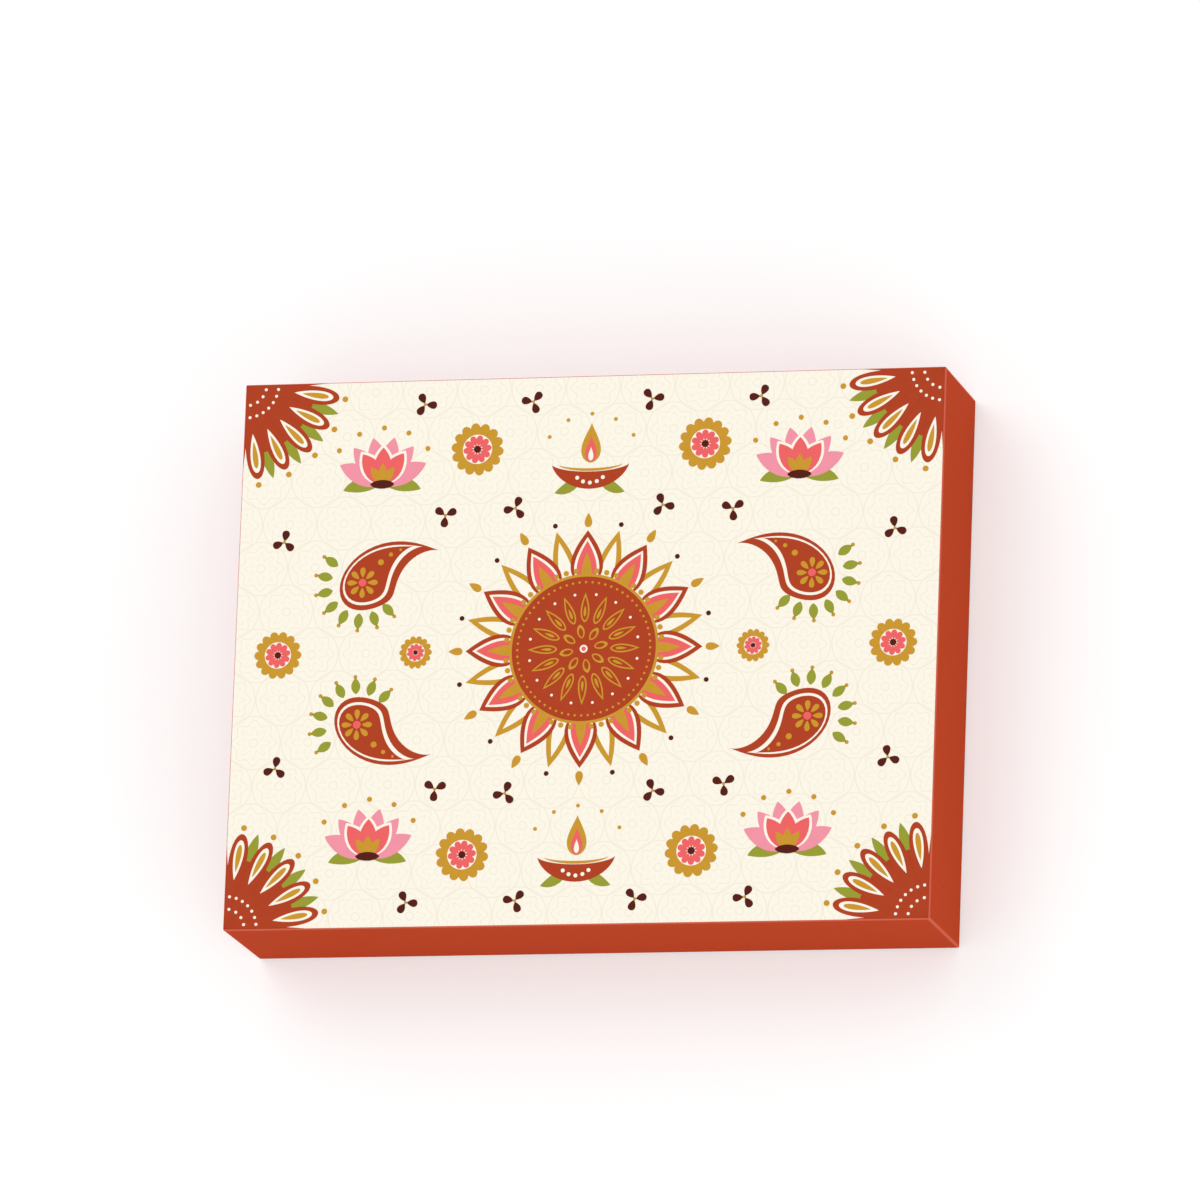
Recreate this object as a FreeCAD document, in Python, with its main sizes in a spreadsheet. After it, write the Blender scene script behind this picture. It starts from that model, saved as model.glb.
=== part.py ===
"""Rigid sweet box with a full-depth lift-off lid and a cross-lapped partition inside.

Millimetres, +Z up. The origin is at the middle of the underside, X runs along the box and Y across it.
The lid and the base are made the same way: a scored greyboard blank folded into a tray, a paper stay
round each corner, one sheet of wrap turned over the rim, and a lining on the inside of the panel.
"""

import FreeCAD
import Part
import Sketcher
import os
from dataclasses import dataclass

# Driving dimensions: alias, value, what it is
SIZES = [
    ("box_length", 228.6, "outside of the closed box along X"),
    ("box_width", 177.8, "outside of the closed box along Y"),
    ("box_height", 44.45, "table to the top of the closed box"),
    ("board", 1.5, "greyboard of the lid and the base"),
    ("score_cut", 0.7, "depth of the half-cut that lets the board fold"),
    ("corner_slit", 0.3, "open butt joint between two folded walls"),
    ("wrap_paper", 0.2, "laminated wrap"),
    ("fold_radius", 0.4, "outside of a folded wrap edge"),
    ("lid_turn_in", 18.0, "wrap turned up inside the lid"),
    ("base_turn_in", 22.0, "wrap turned down inside the base"),
    ("stay_paper", 0.15, "corner stay"),
    ("stay_leg", 15.0, "reach of a corner stay along each wall"),
    ("lining_paper", 0.15, "lining sheet"),
    ("lining_margin", 1.0, "edge of a lining to the wall beside it"),
    ("fit_gap", 0.5, "lid to base on each side"),
    ("rim_gap", 1.0, "rim of the closed lid to the table"),
    ("columns", 4, "compartments along X"),
    ("rows", 3, "compartments along Y"),
    ("divider_card", 0.8, "card of the partition"),
    ("headroom", 4.75, "top of the partition to the lid above it"),
    ("divider_end_gap", 0.4, "end of a divider to the wall of the base"),
    ("divider_corner", 4.0, "rounded top corner of a divider"),
    ("slot_gap", 0.15, "play of a divider in the slot that it crosses"),
    ("slot_flare", 1.2, "lead-in at the mouth of a slot"),
]

# Sizes worked out from the driving ones, as expressions for the document
BOARD_INSET = "(Sizes.wrap_paper + Sizes.stay_paper)"
BOARD_INSIDE = f"({BOARD_INSET} + Sizes.board)"
WALL = f"({BOARD_INSIDE} + Sizes.wrap_paper)"
BASE_INSET = f"({WALL} + Sizes.fit_gap)"
BASE_LENGTH = f"(Sizes.box_length - 2 * {BASE_INSET})"
BASE_WIDTH = f"(Sizes.box_width - 2 * {BASE_INSET})"
BASE_RIM = "(Sizes.box_height - Sizes.wrap_paper - Sizes.board - Sizes.lining_paper)"
FLOOR = "(Sizes.wrap_paper + Sizes.board + Sizes.lining_paper)"
DIVIDER_HEIGHT = f"({BASE_RIM} - Sizes.headroom - {FLOOR})"
CLEAR_LENGTH = f"({BASE_LENGTH} - 2 * {WALL})"
CLEAR_WIDTH = f"({BASE_WIDTH} - 2 * {WALL})"
COLUMN_PITCH = f"({CLEAR_LENGTH} / Sizes.columns)"
ROW_PITCH = f"({CLEAR_WIDTH} / Sizes.rows)"

# Two points nearer than this are one point
TOUCH = 1e-6

# The corners in order round the box, each a quarter turn from the one before
CORNERS = [("back_right", 1, 1), ("back_left", -1, 1), ("front_left", -1, -1), ("front_right", 1, -1)]


@dataclass
class Half:
    """The lid or the base: its outside, where its rim is and which way its panel lies from there."""

    name: str
    length: str
    width: str
    rim: str
    depth: str
    turn_in: str
    panel_above: bool

    def level(self, distance):
        """The height that lies this far from the rim towards the panel."""
        return f"({self.rim} {'+' if self.panel_above else '-'} {distance})"


LID = Half(
    "lid", "Sizes.box_length", "Sizes.box_width", "Sizes.rim_gap",
    "(Sizes.box_height - Sizes.rim_gap)", "Sizes.lid_turn_in", panel_above=True,
)
BASE = Half("base", BASE_LENGTH, BASE_WIDTH, BASE_RIM, BASE_RIM, "Sizes.base_turn_in", panel_above=False)

doc = FreeCAD.newDocument("SweetBox")
sheet = doc.addObject("Spreadsheet::Sheet", "Sizes")
for row, (alias, value, note) in enumerate(SIZES, start=1):
    sheet.set(f"A{row}", note)
    sheet.set(f"B{row}", str(value))
    sheet.setAlias(f"B{row}", alias)
doc.recompute()

sub_parts = []


def new_body(label):
    """A body that becomes one sub-part."""
    body = doc.addObject("PartDesign::Body", label)
    body.Label = label
    sub_parts.append(body)
    return body


def new_sketch(body, name, role, offset):
    """A sketch on one of the body's own planes, moved along the plane's normal by an expression."""
    sketch = body.newObject("Sketcher::SketchObject", f"{body.Name}_{name}")
    plane = next(feature for feature in body.Origin.OriginFeatures if feature.Role == role)
    sketch.AttachmentSupport = [(plane, "")]
    sketch.MapMode = "FlatFace"
    sketch.setExpression("AttachmentOffset.Base.z", offset)
    return sketch


def bind(sketch, constraint, name, expression):
    """Adds a constraint and ties its value to the sheet."""
    index = sketch.addConstraint(constraint)
    sketch.renameConstraint(index, name)
    sketch.setExpression(f"Constraints.{name}", expression)


def add_loop(sketch, points):
    """Adds straight edges through the points, closed, and returns the number of the first edge."""
    first = sketch.GeometryCount
    vectors = [FreeCAD.Vector(x, y, 0) for x, y in points]
    for start, end in zip(vectors, vectors[1:] + vectors[:1]):
        sketch.addGeometry(Part.LineSegment(start, end), False)
    count = len(points)
    for edge in range(count):
        following = first + (edge + 1) % count
        sketch.addConstraint(Sketcher.Constraint("Coincident", first + edge, 2, following, 1))
    return first


def add_rectangle(sketch, name, length, width, corner=None):
    """Adds a rectangle about the origin or, with corner, one whose lowest corner is at those expressions."""
    if corner:
        first = add_loop(sketch, [(1, 1), (2, 1), (2, 2), (1, 2)])
    else:
        first = add_loop(sketch, [(-1, -1), (1, -1), (1, 1), (-1, 1)])
    for edge in (0, 2):
        sketch.addConstraint(Sketcher.Constraint("Horizontal", first + edge))
        sketch.addConstraint(Sketcher.Constraint("Vertical", first + edge + 1))
    bind(sketch, Sketcher.Constraint("DistanceX", first, 1, first, 2, 1.0), f"{name}_length", length)
    bind(sketch, Sketcher.Constraint("DistanceY", first + 1, 1, first + 1, 2, 1.0), f"{name}_width", width)
    if corner:
        bind(sketch, Sketcher.Constraint("DistanceX", -1, 1, first, 1, 1.0), f"{name}_x", corner[0])
        bind(sketch, Sketcher.Constraint("DistanceY", -1, 1, first, 1, 1.0), f"{name}_y", corner[1])
    else:
        sketch.addConstraint(Sketcher.Constraint("Symmetric", first, 1, first + 2, 1, -1, 1))


def extrude(body, kind, sketch, length, along_normal):
    """A Pad or a Pocket of the sketch, along its normal or against it."""
    feature = body.newObject(f"PartDesign::{kind}", f"{sketch.Name}_{kind}")
    feature.Profile = sketch
    feature.setExpression("Length", length)
    feature.Reversed = along_normal if kind == "Pocket" else not along_normal
    sketch.Visibility = False
    doc.recompute()
    return feature


def rectangle_feature(body, half, kind, name, loops, start, length):
    """A Pad or Pocket of nested rectangles, from a distance off the rim and towards the panel."""
    sketch = new_sketch(body, name, "XY_Plane", half.level(start))
    for number, (loop_length, loop_width) in enumerate(loops, start=1):
        add_rectangle(sketch, f"loop{number}", loop_length, loop_width)
    return extrude(body, kind, sketch, length, half.panel_above)


def inset(half, distance):
    """The half's outline, drawn in by a distance on every side."""
    return f"({half.length} - 2 * {distance})", f"({half.width} - 2 * {distance})"


def edges_across(feature, height, between=None):
    """The feature's edges through the card at one height, or only those inside the two ends."""
    card = sheet.get("divider_card")
    found = []
    for number, edge in enumerate(feature.Shape.Edges, start=1):
        level = all(abs(vertex.Z - height) < TOUCH for vertex in edge.Vertexes)
        middle = edge.BoundBox.Center
        inside = between is None or all(
            min(abs(middle.x - limit), abs(middle.y - limit)) > TOUCH for limit in between
        )
        if level and inside and abs(edge.Length - card) < TOUCH:
            found.append(f"Edge{number}")
    return found


def dress(body, kind, name, base, edges, size_name, size):
    """A Fillet or a Chamfer on the named edges of a feature."""
    feature = body.newObject(f"PartDesign::{kind}", f"{body.Name}_{name}")
    feature.Base = (base, edges)
    feature.setExpression(size_name, size)
    doc.recompute()
    return feature


def build_board(half):
    """The greyboard blank: a panel and four walls folded up on half-cut scores, open at the corners."""
    body = new_body(f"{half.name}_board")
    height = f"({half.depth} - 2 * Sizes.wrap_paper)"
    outside = inset(half, BOARD_INSET)
    rectangle_feature(body, half, "Pad", "block", [outside], "Sizes.wrap_paper", height)
    hollow = f"({height} - Sizes.board)"
    rectangle_feature(body, half, "Pocket", "hollow", [inset(half, BOARD_INSIDE)], "Sizes.wrap_paper", hollow)
    scored = inset(half, f"({BOARD_INSET} + Sizes.score_cut)")
    score_start = f"({half.depth} - Sizes.wrap_paper - Sizes.score_cut)"
    rectangle_feature(body, half, "Pocket", "score", [outside, scored], score_start, "Sizes.score_cut")
    slits = new_sketch(body, "slits", "XY_Plane", half.level("Sizes.wrap_paper"))
    for name, side, end in CORNERS:
        slit_x = f"({side} * ({half.length} / 2 - {BOARD_INSET} - Sizes.board / 2) - Sizes.board / 2)"
        slit_middle = f"({half.width} / 2 - {BOARD_INSIDE} - Sizes.corner_slit / 2)"
        slit_y = f"({end} * {slit_middle} - Sizes.corner_slit / 2)"
        add_rectangle(slits, name, "Sizes.board", "Sizes.corner_slit", corner=(slit_x, slit_y))
    extrude(body, "Pocket", slits, hollow, half.panel_above)


def build_wrap(half):
    """The wrap: one sheet over the panel and walls, round the rim and turned in against the walls."""
    body = new_body(f"{half.name}_wrap")
    block = rectangle_feature(body, half, "Pad", "block", [(half.length, half.width)], "0", half.depth)
    rim = block.Shape.BoundBox.ZMin if half.panel_above else block.Shape.BoundBox.ZMax
    folded = [
        f"Edge{number}" for number, edge in enumerate(block.Shape.Edges, start=1)
        if any(abs(vertex.Z - rim) > TOUCH for vertex in edge.Vertexes)
    ]
    dress(body, "Fillet", "folds", block, folded, "Radius", "min(Sizes.fold_radius; 2 * Sizes.wrap_paper)")
    inside = f"({half.depth} - Sizes.wrap_paper)"
    rectangle_feature(body, half, "Pocket", "clear", [inset(half, WALL)], "0", inside)
    board_space = [inset(half, "Sizes.wrap_paper"), inset(half, BOARD_INSIDE)]
    board_height = f"({inside} - Sizes.wrap_paper)"
    rectangle_feature(body, half, "Pocket", "board_space", board_space, "Sizes.wrap_paper", board_height)
    bare_wall = [inset(half, BOARD_INSIDE), inset(half, WALL)]
    bare_height = f"({inside} - {half.turn_in})"
    rectangle_feature(body, half, "Pocket", "bare_wall", bare_wall, half.turn_in, bare_height)


def build_stay(half, turn, name, side, end):
    """A paper strip folded round the outside of one corner of the board, up to the score."""
    body = new_body(f"{half.name}_stay_{name}")
    sketch = new_sketch(body, "profile", "XY_Plane", half.level("Sizes.wrap_paper"))
    first = add_loop(sketch, [(0, 0), (-3, 0), (-3, -1), (-1, -1), (-1, -3), (0, -3)])
    for edge in range(6):
        direction = "Horizontal" if edge % 2 == 0 else "Vertical"
        sketch.addConstraint(Sketcher.Constraint(direction, first + edge))
    sketch.addConstraint(Sketcher.Constraint("Coincident", first, 1, -1, 1))
    leg, paper = "(Sizes.stay_leg + Sizes.stay_paper)", "Sizes.stay_paper"
    bind(sketch, Sketcher.Constraint("DistanceX", first, 2, first, 1, 3.0), "leg_x", leg)
    bind(sketch, Sketcher.Constraint("DistanceY", first + 5, 1, first + 5, 2, 3.0), "leg_y", leg)
    bind(sketch, Sketcher.Constraint("DistanceY", first + 1, 2, first + 1, 1, 1.0), "paper_x", paper)
    bind(sketch, Sketcher.Constraint("DistanceX", first + 4, 1, first + 4, 2, 1.0), "paper_y", paper)
    height = f"({half.depth} - 2 * Sizes.wrap_paper - Sizes.score_cut)"
    extrude(body, "Pad", sketch, height, half.panel_above)
    body.Placement.Rotation = FreeCAD.Rotation(FreeCAD.Vector(0, 0, 1), 90 * turn)
    body.setExpression("Placement.Base.x", f"{side} * ({half.length} / 2 - Sizes.wrap_paper)")
    body.setExpression("Placement.Base.y", f"{end} * ({half.width} / 2 - Sizes.wrap_paper)")


def build_lining(half):
    """A sheet pasted on the inside of the panel."""
    body = new_body(f"{half.name}_lining")
    outline = inset(half, f"({BOARD_INSIDE} + Sizes.lining_margin)")
    start = f"({half.depth} - Sizes.wrap_paper - Sizes.board - Sizes.lining_paper)"
    rectangle_feature(body, half, "Pad", "sheet", [outline], start, "Sizes.lining_paper")


def build_divider(label, role, axis, place, length, crossings, slots_at_top):
    """A standing strip of card with half-height slots where the strips that run the other way cross it."""
    body = new_body(label)
    back = "(-Sizes.divider_card / 2)"
    strip = new_sketch(body, "strip", role, back)
    strip_start = f"(Sizes.divider_end_gap - {length} / 2)"
    strip_length = f"({length} - 2 * Sizes.divider_end_gap)"
    add_rectangle(strip, "strip", strip_length, DIVIDER_HEIGHT, corner=(strip_start, FLOOR))
    card = extrude(body, "Pad", strip, "Sizes.divider_card", True)
    mouth, other_edge = card.Shape.BoundBox.ZMax, card.Shape.BoundBox.ZMin
    dress(body, "Fillet", "corners", card, edges_across(card, mouth), "Radius", "Sizes.divider_corner")

    slots = new_sketch(body, "slots", role, back)
    slot_width = "(Sizes.divider_card + Sizes.slot_gap)"
    slot_depth = f"(({DIVIDER_HEIGHT} + Sizes.slot_gap) / 2)"
    slot_bottom = f"({FLOOR} + {DIVIDER_HEIGHT} - {slot_depth})" if slots_at_top else FLOOR
    for number, crossing in enumerate(crossings, start=1):
        corner = (f"({crossing} - {slot_width} / 2)", slot_bottom)
        add_rectangle(slots, f"slot{number}", slot_width, slot_depth, corner=corner)
    cut = extrude(body, "Pocket", slots, "Sizes.divider_card", True)
    end = cut.Shape.BoundBox
    reach = (end.XMin, end.XMax) if axis == "y" else (end.YMin, end.YMax)
    lips = edges_across(cut, mouth if slots_at_top else other_edge, between=reach)
    dress(body, "Chamfer", "flare", cut, lips, "Size", "Sizes.slot_flare")
    body.setExpression(f"Placement.Base.{axis}", place)


def build_partition():
    """Long dividers along X, slotted from above, and cross dividers along Y, slotted from below."""
    columns, rows = int(sheet.get("columns")), int(sheet.get("rows"))
    across = [f"(({number} - {columns} / 2) * {COLUMN_PITCH})" for number in range(1, columns)]
    along = [f"(({number} - {rows} / 2) * {ROW_PITCH})" for number in range(1, rows)]
    for number, place in enumerate(along, start=1):
        label = f"long_divider_{number}"
        build_divider(label, "XZ_Plane", "y", place, CLEAR_LENGTH, across, slots_at_top=True)
    for number, place in enumerate(across, start=1):
        label = f"cross_divider_{number}"
        build_divider(label, "YZ_Plane", "x", place, CLEAR_WIDTH, along, slots_at_top=False)


def check():
    """Stops the build if an object failed or a sub-part isn't one sound solid."""
    for item in doc.Objects:
        if "Invalid" in item.State or "Error" in item.State:
            raise RuntimeError(f"{item.Label} failed: {item.State}")
    for body in sub_parts:
        shape = body.Shape
        if shape.isNull() or not shape.isValid() or len(shape.Solids) != 1:
            raise RuntimeError(f"{body.Label} isn't one sound solid")


def main():
    """Builds every sub-part, checks them and writes one file for each."""
    for half in (LID, BASE):
        build_board(half)
        for turn, (name, side, end) in enumerate(CORNERS):
            build_stay(half, turn, name, side, end)
        build_wrap(half)
        build_lining(half)
    build_partition()
    doc.recompute()
    check()
    os.makedirs("parts", exist_ok=True)
    for body in sub_parts:
        body.Shape.exportStep(f"parts/{body.Label}.step")
        print(f"{body.Label}: {body.Shape.Volume:.1f} mm3")


main()
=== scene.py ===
"""Looks of a rigid sweet box: its printed wrap, board, linings and partition, in a plain studio."""

import logging
import math
from dataclasses import dataclass, replace
from enum import Enum, auto
from typing import Any, ClassVar, Optional

import bpy
from mathutils import Matrix, Vector


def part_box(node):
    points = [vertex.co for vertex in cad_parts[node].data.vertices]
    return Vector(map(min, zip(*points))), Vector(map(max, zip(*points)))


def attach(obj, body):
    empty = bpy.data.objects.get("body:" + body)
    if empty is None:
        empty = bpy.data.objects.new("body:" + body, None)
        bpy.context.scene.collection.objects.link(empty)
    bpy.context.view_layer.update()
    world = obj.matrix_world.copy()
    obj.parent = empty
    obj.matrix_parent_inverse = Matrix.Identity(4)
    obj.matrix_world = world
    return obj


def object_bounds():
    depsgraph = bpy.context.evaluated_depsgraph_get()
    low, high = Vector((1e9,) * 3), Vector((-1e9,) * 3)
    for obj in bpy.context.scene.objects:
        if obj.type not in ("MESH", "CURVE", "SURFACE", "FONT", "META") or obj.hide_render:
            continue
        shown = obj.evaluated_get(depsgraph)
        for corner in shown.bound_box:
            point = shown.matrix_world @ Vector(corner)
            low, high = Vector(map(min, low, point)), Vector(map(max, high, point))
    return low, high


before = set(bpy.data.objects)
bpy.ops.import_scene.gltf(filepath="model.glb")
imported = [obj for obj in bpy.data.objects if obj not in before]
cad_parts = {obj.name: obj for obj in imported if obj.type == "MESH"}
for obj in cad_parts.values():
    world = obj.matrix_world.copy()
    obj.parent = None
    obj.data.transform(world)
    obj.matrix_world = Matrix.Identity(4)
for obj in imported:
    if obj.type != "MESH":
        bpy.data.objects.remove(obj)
CAD_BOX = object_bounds()

log = logging.getLogger("sweet_box")
# Lengths are in metres, and those of the print's strokes and figures in millimetres
MM = 0.001
WHITE = (1.0, 1.0, 1.0, 1.0)
MATH = "ShaderNodeMath"
MAP_RANGE = "ShaderNodeMapRange"
MIX = "ShaderNodeMix"
NOISE = "ShaderNodeTexNoise"
BUMP = "ShaderNodeBump"
COMBINE = "ShaderNodeCombineXYZ"
# Places of the colour inputs and output on a Mix node
MIX_A, MIX_B, MIX_RESULT = 6, 7, 2
# Angle of a stroke that points towards +Y
UP = 90.0


class Ink(Enum):
    """Inks of the lid's print, as sRGB hex values."""

    BRICK = "#B34427"
    OLIVE = "#9A9F38"
    MAROON = "#59231B"
    GOLD = "#CA9833"
    PINK = "#F597A8"
    CORAL = "#F16768"
    CREAM = "#FFF9EA"


class Motif(Enum):
    """Names of the print's figures. A paisley comes in two hands."""

    MEDALLION = auto()
    CORNER_FAN = auto()
    PAISLEY_LEFT = auto()
    PAISLEY_RIGHT = auto()
    LOTUS = auto()
    LAMP = auto()
    MARIGOLD = auto()
    TREFOIL = auto()


class Shape(Enum):
    """Outlines of a printed stroke: how far it tapers at its base and at its tip."""

    OVAL = (0.0, 0.0)
    LENS = (0.15, 0.15)
    DROP = (0.0, 0.5)
    PETAL = (0.1, 0.55)
    FLAME = (0.1, 0.8)
    LEAF = (0.3, 0.4)
    SPOON = (0.45, 0.0)
    CLUB = (0.9, 0.0)
    TAIL = (0.0, 1.1)


def linear(colour: str) -> tuple[float, float, float, float]:
    """Turns an sRGB hex value into linear light.

    Args:
        colour: A value such as "#B34427".

    Returns:
        Red, green, blue and an alpha of 1.
    """
    levels = [int(colour[place:place + 2], 16) / 255 for place in (1, 3, 5)]
    red, green, blue = [x / 12.92 if x <= 0.04045 else ((x + 0.055) / 1.055) ** 2.4 for x in levels]
    return red, green, blue, 1.0


def add_node(
    tree: bpy.types.NodeTree, kind: str, inputs: Optional[dict[Any, Any]] = None, **settings: Any
) -> bpy.types.Node:
    """Adds a node with its settings and links.

    Args:
        tree: The material, world or geometry tree.
        kind: The node's type name.
        inputs: Input name or place to a constant, a socket, or a node whose first output is meant.
        settings: The node's own options.

    Returns:
        The new node.
    """
    node = tree.nodes.new(kind)
    for name, value in settings.items():
        setattr(node, name, value)
    for key, value in (inputs or {}).items():
        if isinstance(value, bpy.types.Node):
            value = value.outputs[0]
        if isinstance(value, bpy.types.NodeSocket):
            tree.links.new(value, node.inputs[key])
        else:
            node.inputs[key].default_value = value
    return node


def new_material(name: str) -> tuple[bpy.types.Material, bpy.types.NodeTree, bpy.types.Node]:
    """Makes an empty node material.

    Args:
        name: The real material's name.

    Returns:
        The material, its tree and the output node.
    """
    material = bpy.data.materials.new(name)
    material.use_nodes = True
    tree = material.node_tree
    tree.nodes.clear()
    return material, tree, add_node(tree, "ShaderNodeOutputMaterial")


@dataclass(frozen=True)
class PaperSurface:
    """Matt surface of a paper: a fine tooth and the slow waves of a sheet pasted on board."""

    roughness: float = 0.6
    specular: float = 0.01
    metallic: float = 0.0
    # Fibres are about 0.03 mm thick: drawn at 0.9 mm, so that they show
    tooth: float = 0.9 * MM
    tooth_height: float = 0.012 * MM
    # A detail counts the octaves of a noise, here and in the other finishes
    tooth_detail: float = 3.0
    wave: float = 34 * MM
    wave_height: float = 0.10 * MM
    wave_detail: float = 1.0
    # How far the roughness goes up and down with the tooth
    gloss_spread: float = 0.06

    def shade(
        self,
        tree: bpy.types.NodeTree,
        output: bpy.types.Node,
        colour: Any,
        raised: Optional[bpy.types.Node] = None,
    ) -> None:
        """Joins a colour to a paper-like shader.

        Args:
            tree: The material's tree.
            output: Its output node.
            colour: A socket or node that gives the colour.
            raised: The bump of sheets that lie underneath, if there are any.
        """
        place = add_node(tree, "ShaderNodeTexCoord").outputs["Object"]
        swell = {"Vector": place, "Scale": 1 / self.wave, "Detail": self.wave_detail}
        waves = add_node(tree, NOISE, swell)
        grain = {"Vector": place, "Scale": 1 / self.tooth, "Detail": self.tooth_detail}
        tooth = add_node(tree, NOISE, grain)
        slow = add_node(tree, BUMP, {"Height": waves, "Distance": self.wave_height})
        if raised:
            tree.links.new(raised.outputs[0], slow.inputs["Normal"])
        fine = add_node(tree, BUMP, {"Height": tooth, "Distance": self.tooth_height, "Normal": slow})
        low, high = self.roughness - self.gloss_spread, self.roughness + self.gloss_spread
        gloss = add_node(tree, MAP_RANGE, {"Value": tooth, "To Min": low, "To Max": high})
        shader = add_node(
            tree,
            "ShaderNodeBsdfPrincipled",
            {
                "Base Color": colour,
                "Roughness": gloss,
                "Metallic": self.metallic,
                "Specular IOR Level": self.specular,
                "Normal": fine,
            },
        )
        tree.links.new(shader.outputs[0], output.inputs["Surface"])


@dataclass(frozen=True)
class PrintedWrap:
    """Art paper printed in offset and laminated matt: flat even colour, with a paler line along each fold
    that is partly rubbed wear and partly a painted edge highlight.
    """

    half_length: float
    half_width: float
    # Heights of the long folds that get the paler line of rubbed wear and painted edge highlight
    fold_heights: tuple[float, ...]
    # Height of the printed panel, where there is one
    panel_height: Optional[float] = None
    panel: str = Ink.CREAM.value
    ground_figure: str = "#F8F0DE"
    wall: str = "#C3441F"
    # Paler red along the folds: partly rubbed wear, partly a painted edge highlight
    fold: str = "#DD6D56"
    panel_edge: float = 0.03 * MM
    # Widths of the paler line of wear and painted highlight on the long folds and on the corner folds
    long_fold: float = 1.5 * MM
    corner_fold: float = 0.8 * MM
    # How much narrower the paler line of wear and painted highlight is on the flat panel than on the wall
    fold_squeeze: float = 3.0
    # Share of a line's width that is paler evenly, and the least level of wear and painted highlight where
    # it is uneven
    fold_core: float = 0.6
    least_wear_and_highlight: float = 0.7
    wear_and_highlight_patch: float = 12.0 * MM
    wear_and_highlight_detail: float = 2.0
    # Red quarter disc in each corner of the panel, with tails that narrow along the edges
    corner_field: float = 15.0 * MM
    corner_tail: float = 30.0 * MM
    tail_slope: float = 12.5
    ear_length: float = 14.0 * MM
    ear_slope: float = 0.8 * MM
    ear_paper: float = 0.15 * MM
    cell_length: float = 17.8 * MM
    cell_width: float = 28.4 * MM
    # Radius of each ring of a rosette, and how deep its scallops are
    ground_rings: tuple[tuple[float, float], ...] = (
        (8.7 * MM, 0.0),
        (6.6 * MM, 0.12),
        (4.0 * MM, 0.3),
        (1.3 * MM, 0.0),
    )
    scallops: int = 8
    ground_line: float = 0.4 * MM

    def material(self, name: str) -> bpy.types.Material:
        """Makes the material.

        Args:
            name: The material's name.

        Returns:
            The finished material.
        """
        material, tree, output = new_material(name)
        place = add_node(tree, "ShaderNodeTexCoord").outputs["Object"]
        axes = add_node(tree, "ShaderNodeSeparateXYZ", {0: place}).outputs
        near = []
        for axis, half in (("X", self.half_length), ("Y", self.half_width)):
            size = add_node(tree, MATH, {0: axes[axis]}, operation="ABSOLUTE")
            near.append(add_node(tree, MATH, {0: half, 1: size}, operation="SUBTRACT"))
        # Paler line along the folds: partly rubbed wear, partly a painted edge highlight
        wear_and_highlight_noise = {"Vector": place, "Scale": 1 / self.wear_and_highlight_patch, "Detail": self.wear_and_highlight_detail}
        patches = add_node(tree, NOISE, wear_and_highlight_noise)
        folds = self.fold_mask(tree, axes["Z"], near, patches)
        shades = {0: folds, MIX_A: linear(self.wall), MIX_B: linear(self.fold)}
        colour = add_node(tree, MIX, shades, data_type="RGBA").outputs[MIX_RESULT]
        if self.panel_height is not None:
            colour = self.panel_colour(tree, axes, near, colour)
        ears = self.ear_mask(tree, near)
        raised = add_node(tree, BUMP, {"Height": ears, "Distance": self.ear_paper})
        PaperSurface().shade(tree, output, colour, raised)
        return material

    def panel_colour(
        self,
        tree: bpy.types.NodeTree,
        axes: Any,
        near: list[bpy.types.Node],
        wall: bpy.types.NodeSocket,
    ) -> bpy.types.NodeSocket:
        """Lays the printed panel over the wall's colour.

        Args:
            tree: The material's tree.
            axes: The separated Object coordinates.
            near: The distances from the end walls and the side walls.
            wall: The colour of the walls.

        Returns:
            The colour of panel and walls.
        """
        lattice = self.ground_mask(tree, axes)
        shades = {0: lattice, MIX_A: linear(self.panel), MIX_B: linear(self.ground_figure)}
        ground = add_node(tree, MIX, shades, data_type="RGBA").outputs[MIX_RESULT]
        flat = add_node(tree, COMBINE, {0: near[0], 1: near[1]})
        reach = add_node(tree, "ShaderNodeVectorMath", {0: flat}, operation="LENGTH").outputs["Value"]
        disc = add_node(tree, MATH, {0: reach, 1: self.corner_field}, operation="LESS_THAN")
        inside = add_node(tree, MATH, {0: near[0], 1: near[1]}, operation="MINIMUM")
        narrow = add_node(tree, MATH, {0: inside, 1: self.tail_slope, 2: reach}, operation="MULTIPLY_ADD")
        tail = add_node(tree, MATH, {0: narrow, 1: self.corner_tail}, operation="LESS_THAN")
        corner = add_node(tree, MATH, {0: disc, 1: tail}, operation="MAXIMUM")
        shades = {0: corner, MIX_A: ground, MIX_B: linear(Ink.BRICK.value)}
        figure = add_node(tree, MIX, shades, data_type="RGBA").outputs[MIX_RESULT]
        lowest = self.panel_height - self.panel_edge
        on_panel = add_node(tree, MATH, {0: axes["Z"], 1: lowest}, operation="GREATER_THAN")
        both = add_node(tree, MIX, {0: on_panel, MIX_A: wall, MIX_B: figure}, data_type="RGBA")
        return both.outputs[MIX_RESULT]

    def ear_mask(self, tree: bpy.types.NodeTree, near: list[bpy.types.Node]) -> bpy.types.Node:
        """Finds the ears of the long sides, which go round the corners and under the short sides' paper.

        Args:
            tree: The material's tree.
            near: The distances from the end walls and the side walls.

        Returns:
            A node that gives 1 over an ear, 0 elsewhere and a short slope between.
        """
        on_end = add_node(tree, MATH, {0: near[0], 1: self.panel_edge}, operation="LESS_THAN")
        slope = {
            "Value": near[1],
            "From Min": self.ear_length,
            "From Max": self.ear_length + self.ear_slope,
            "To Min": 1.0,
            "To Max": 0.0,
        }
        over = add_node(tree, MAP_RANGE, slope)
        return add_node(tree, MATH, {0: on_end, 1: over}, operation="MULTIPLY")

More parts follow.
